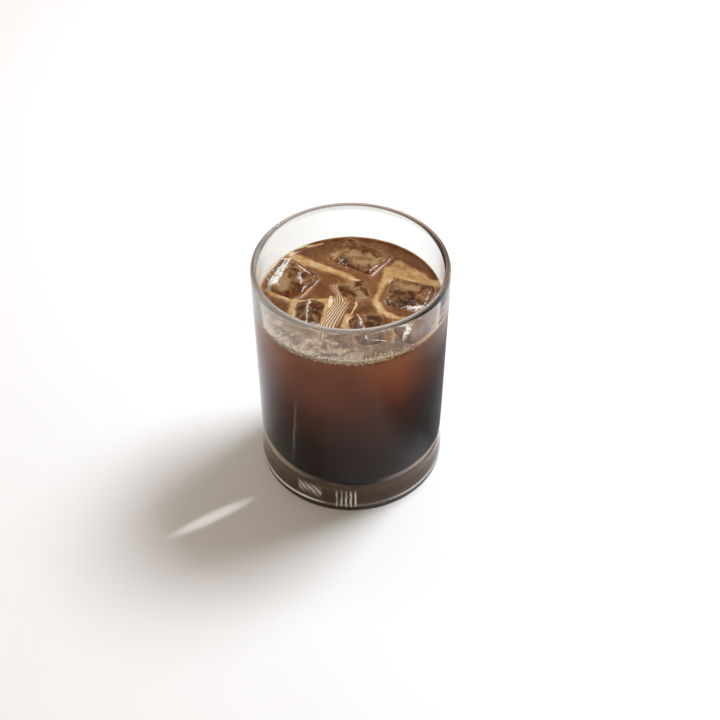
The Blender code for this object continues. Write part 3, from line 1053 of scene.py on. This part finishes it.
def crema_film():
    material, tree, shader = new_material("coffee crema", Roughness=0.25, IOR=1.33)
    place = add_node(tree, "ShaderNodeTexCoord").outputs["Object"]
    cream, across, marble, bubble_ring, froth = (
        add_node(tree, "ShaderNodeAttribute", attribute_name=name).outputs["Fac"]
        for name in ("cream", "across", "marble", "bubble_ring", "froth"))
    warp = add_node(tree, "ShaderNodeTexNoise", {
        "Vector": place, "Scale": 1 / WARP_WAVE, "Detail": 1.0})
    warped = add_node(tree, "ShaderNodeVectorMath", {
        0: warp.outputs["Color"], 1: (WARP, WARP, 0.0), 2: place}, operation="MULTIPLY_ADD")
    patches = add_node(tree, "ShaderNodeTexNoise", {
        "Vector": warped, "Scale": 1 / PATCH_SIZE, "Detail": 2.5, "Distortion": 0.4})
    foam = add_node(tree, "ShaderNodeMath", {0: patches, 1: 0.55, 2: cream}, operation="MULTIPLY_ADD")
    film = ramp(tree, foam, [
        (0.1, "#3a1e0c"), (0.3, "#6f4525"), (0.45, "#895e36"),
        (0.65, "#b08b5a"), (0.9, "#cfb98f")])
    sway = add_node(tree, "ShaderNodeTexNoise", {
        "Vector": place, "Scale": 1 / THREAD_WAVE, "Detail": 0.0})
    strand = stripes(tree, across, sway, THREAD_SPACING, THREAD_SWAY, 1.0)
    threads = ramp(tree, strand, [
        (0.0, "#754e2e"), (0.3, "#9a7850"), (0.75, "#ae916b"), (1.0, "#dccbb0")])
    colour = add_node(tree, "ShaderNodeMix", {0: marble, 6: film, 7: threads}, data_type="RGBA")

    mottle = add_node(tree, "ShaderNodeTexNoise", {
        "Vector": place, "Scale": 1 / MOTTLE_SIZE, "Detail": 5.0, "Roughness": 0.6, "Distortion": 1.4})
    patchy = ramp(tree, mottle, [
        (0.38, "#573d2c"), (0.47, "#7d634b"), (0.55, "#9d876b"), (0.66, "#c2b094")])
    cells = add_node(tree, "ShaderNodeTexVoronoi", {"Vector": place, "Scale": 1 / BUBBLE_SPACING})
    dot = add_node(tree, "ShaderNodeMapRange", {
        "Value": cells, "From Min": 0.34, "From Max": 0.2})
    bubble = combine(tree, "MULTIPLY", dot, bubble_ring)
    bubbly = add_node(tree, "ShaderNodeMix", {0: bubble, 6: patchy, 7: linear("#dccfb9")}, data_type="RGBA")
    surface = add_node(tree, "ShaderNodeMix", {
        0: froth, 6: colour.outputs[2], 7: bubbly.outputs[2]}, data_type="RGBA")
    tree.links.new(surface.outputs[2], shader.inputs["Base Color"])
    return material


crema = turn("crema_film", crema_outline(), crema_film(), CREMA_STEPS)
points = points_of(crema.data)
top = points[:, 2] > SURFACE_HEIGHT - CREMA_THICKNESS / 2
rise = np.zeros(len(points))
rise[top] = CLIMB * np.exp(-ice_distance(points[top]) / CLIMB_REACH)
rise[top] += FOAM_RELIEF * strokes_mask(points[top], CREAM_STROKES, RELIEF_EDGE, TONGUE_WANDER)
points[:, 2] += rise
set_points(crema.data, points)
cut_hollows(crema, cutters)
for cutter in list(cutters.objects):
    bpy.data.objects.remove(cutter)
print("crema", len(crema.data.polygons), "faces")

# %% [markdown]
# ### Painting the crema
#
# The film now gets the numbers that its finish reads: how pale the foam is, where the
# threads lie and how far across them a point is, and where froth and its bubbles stand
# against the front wall.  One more, "speck", says where beads will be scattered.  Noise
# makes the foam and the froth uneven.

# %% Paint the crema
COLLAR_WIDTH = 1.2 * MM  # foam that clings to the cubes
COLLAR_CREAM = 0.18  # how much paler each kind of foam makes the film
CREAM_FOAM = 0.42
THREAD_CREAM = 0.6
PEARL_CREAM = 0.9
BARE_COFFEE = 0.2
WALL_CREAM = 0.75
WALL_CREAM_BACK = 0.4  # share of it that is left at the back
WALL_CREAM_WIDTH = 0.7 * MM
THIN_FOAM = 0.6  # the tongues' least thickness, as a share
EXTRA_FOAM = 0.7  # and how much more they can have
THICKNESS_WAVE = 5 * MM
FOAM_SEED = 61
BLOTCHES = 0.25
BLOTCH_WAVE = 1.6 * MM
BLOTCH_SEED = 62
TONGUE_EDGE = 1.7 * MM  # width over which each kind of stroke fades out
THREAD_EDGE = 0.3 * MM
BARE_EDGE = 1.5 * MM
MARBLE_EDGE = 1.8 * MM
BARE_WANDER = 0.8 * MM  # how far its edge wanders
MARBLE_WANDER = 1.0 * MM
EDGE_RISE = 0.7 * MM  # the pale line lies on the raised edge of the film
EDGE_START = 0.6
FOAM_MIDDLE = -105  # the bubbly part of the edge, in degrees round the glass
FOAM_SPREAD = 60
FOAM_REACH = 4.5 * MM
FROTH_SHIFT = 14 * MM  # the froth fills what lies outside a circle moved back by this
FROTH_UNEVEN = 6 * MM
FROTH_SEED = 63
FROTH_EDGE = 3 * MM
FROTH_RIGHT = 0.75  # how much of the froth is missing at the right
FROTH_FADE = -3 * MM  # where that begins
FROTH_FADE_WIDTH = 16 * MM
PAINT_DEPTH = 0.2 * MM  # froth and bubbles lie on the top, down to this depth

points = points_of(crema.data)
wall = inner_radius(SURFACE_HEIGHT)
rim_gap = wall - np.hypot(points[:, 0], points[:, 1])
bearing = np.degrees(np.arctan2(points[:, 1], points[:, 0]))
in_front = np.clip(1 - np.abs(bearing - FOAM_MIDDLE) / FOAM_SPREAD, 0, 1)
on_edge = np.clip((points[:, 2] - SURFACE_HEIGHT) / EDGE_RISE - EDGE_START, 0, 1)
on_top = points[:, 2] > SURFACE_HEIGHT - PAINT_DEPTH

pearl = strokes_mask(points, PEARL_STROKES, THREAD_EDGE, THREAD_EDGE)
thickness = THIN_FOAM + EXTRA_FOAM * noise_at(points, THICKNESS_WAVE, FOAM_SEED)
cream = COLLAR_CREAM * np.exp(-ice_distance(points) / COLLAR_WIDTH)
cream += CREAM_FOAM * thickness * strokes_mask(points, CREAM_STROKES, TONGUE_EDGE, TONGUE_WANDER)
cream += BLOTCHES * (noise_at(points, BLOTCH_WAVE, BLOTCH_SEED) - 0.5)
cream += THREAD_CREAM * strokes_mask(points, THREAD_STROKES, THREAD_EDGE, THREAD_EDGE)
cream += PEARL_CREAM * pearl
cream -= BARE_COFFEE * strokes_mask(points, DARK_STROKES, BARE_EDGE, BARE_WANDER)
along_wall = blend(WALL_CREAM_BACK, 1, in_front)
cream += WALL_CREAM * along_wall * on_edge * np.exp(-rim_gap / WALL_CREAM_WIDTH)
paint(crema.data, "cream", cream)

marble = strokes_mask(points, MARBLE_STROKES, MARBLE_EDGE, MARBLE_WANDER)
paint(crema.data, "marble", marble * (1 - pearl))
crema.data.attributes.new("across", "FLOAT", "POINT").data.foreach_set(
    "value", side_of(points, MARBLE_STROKES[0]))

near_wall = np.clip(1 - rim_gap / FOAM_REACH, 0, 1)
paint(crema.data, "speck", np.minimum(1, 3 * in_front) * near_wall * on_top)
paint(crema.data, "bubble_ring", 2 * (1 - rim_gap / FOAM_REACH))

uneven = FROTH_UNEVEN * (noise_at(points, THICKNESS_WAVE, FROTH_SEED) - 0.5)
froth_depth = np.hypot(points[:, 0], points[:, 1] - FROTH_SHIFT) - wall + uneven
to_right = np.clip((points[:, 0] - FROTH_FADE) / FROTH_FADE_WIDTH, 0, 1)
froth = np.clip(froth_depth / FROTH_EDGE, 0, 1) * (1 - FROTH_RIGHT * to_right)
paint(crema.data, "froth", froth * on_top)
print(round(100 * np.mean(froth > 0)), "percent of the crema's points lie in froth")

# %% [markdown]
# ## Bubbles and ice crumbs
#
# Fine bubbles gather along the front wall, and crumbs of ice and trapped air sparkle on
# the cubes.  There are hundreds, each under a millimetre, so Geometry Nodes scatter one
# small ball over a surface.  How many land where is read from the painted number
# "speck", so the same tree serves both.

# %% Scattered beads
SMALLEST = 0.5  # the beads' sizes, as shares of the radius that is given
LARGEST = 1.5
BALL_SPLITS = 2  # each ball has 20 triangles, split in four one time less than this
BALL_FACES = 20 * 4 ** (BALL_SPLITS - 1)


def bead_tree(material):
    tree, given = new_tree("scatter beads", {
        "Surfaces": ("NodeSocketCollection", None),
        "Radius": ("NodeSocketFloat", 0.25 * MM),
        "Beads": ("NodeSocketFloat", 1000000.0),
        "Seed": ("NodeSocketInt", 1),
    })
    surfaces = add_node(tree, "GeometryNodeCollectionInfo", {"Collection": given["Surfaces"]})
    skin = add_node(tree, "GeometryNodeRealizeInstances", {"Geometry": surfaces})
    speck = add_node(tree, "GeometryNodeInputNamedAttribute", {"Name": "speck"}, data_type="FLOAT")
    density = add_node(tree, "ShaderNodeMath", {0: speck, 1: given["Beads"]}, operation="MULTIPLY")
    points = add_node(tree, "GeometryNodeDistributePointsOnFaces", {
        "Mesh": skin, "Density": density, "Seed": given["Seed"]})
    ball = add_node(tree, "GeometryNodeMeshIcoSphere", {
        "Radius": given["Radius"], "Subdivisions": BALL_SPLITS})
    size = add_node(tree, "FunctionNodeRandomValue", {
        2: SMALLEST, 3: LARGEST, "Seed": given["Seed"]}, data_type="FLOAT")
    beads = add_node(tree, "GeometryNodeInstanceOnPoints", {
        "Points": points.outputs["Points"], "Instance": ball.outputs["Mesh"], "Scale": size.outputs[1]})
    smooth = add_node(tree, "GeometryNodeSetShadeSmooth", {"Geometry": beads})
    close_tree(tree, smooth, material)
    return tree


def scatter(name, surfaces, material, radius, per_square_mm, seed):
    """Beads over the painted places of some pieces, as one mesh."""
    group = bpy.data.collections.new(name + "_surfaces")
    bpy.context.scene.collection.children.link(group)
    for piece in surfaces:
        group.objects.link(piece)
    tree = bead_tree(material)
    piece = run_tree(name, tree, {
        "Surfaces": group, "Radius": radius, "Beads": per_square_mm / MM ** 2, "Seed": seed})
    bpy.data.collections.remove(group)
    bpy.data.node_groups.remove(tree)
    print(name, len(piece.data.polygons) // BALL_FACES, "beads")
    return piece


milk_white, _, _ = new_material("coffee foam bubbles", Base_Color=linear("#cfc1a8"), Roughness=0.15, IOR=1.33)
frost_white, _, _ = new_material("ice crumbs", Base_Color=linear("#f4f1ea"), Roughness=0.1, IOR=1.31)
foam_bubbles = scatter("foam_bubbles", [crema], milk_white, 0.24 * MM, 2.6, 4)
ice_crumbs = scatter("ice_crumbs", list(cubes.values()), frost_white, 0.2 * MM, 0.7, 9)

# %% [markdown]
# ## Putting it together
#
# Each new piece rides on the frame's one body and stands for the frame's plain node.

# %% Ride and replace
for piece, node, finish in [(tumbler, "tumbler", "glass"), (coffee, "coffee", "coffee"),
                            (crema, "crema", "crema")]:
    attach(piece, "root")
    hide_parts(node)
for piece, finish in [(foam_bubbles, "crema"), (ice_crumbs, "ice")]:
    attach(piece, "root")
for node, cube in cubes.items():
    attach(cube, "root")
    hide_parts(node)
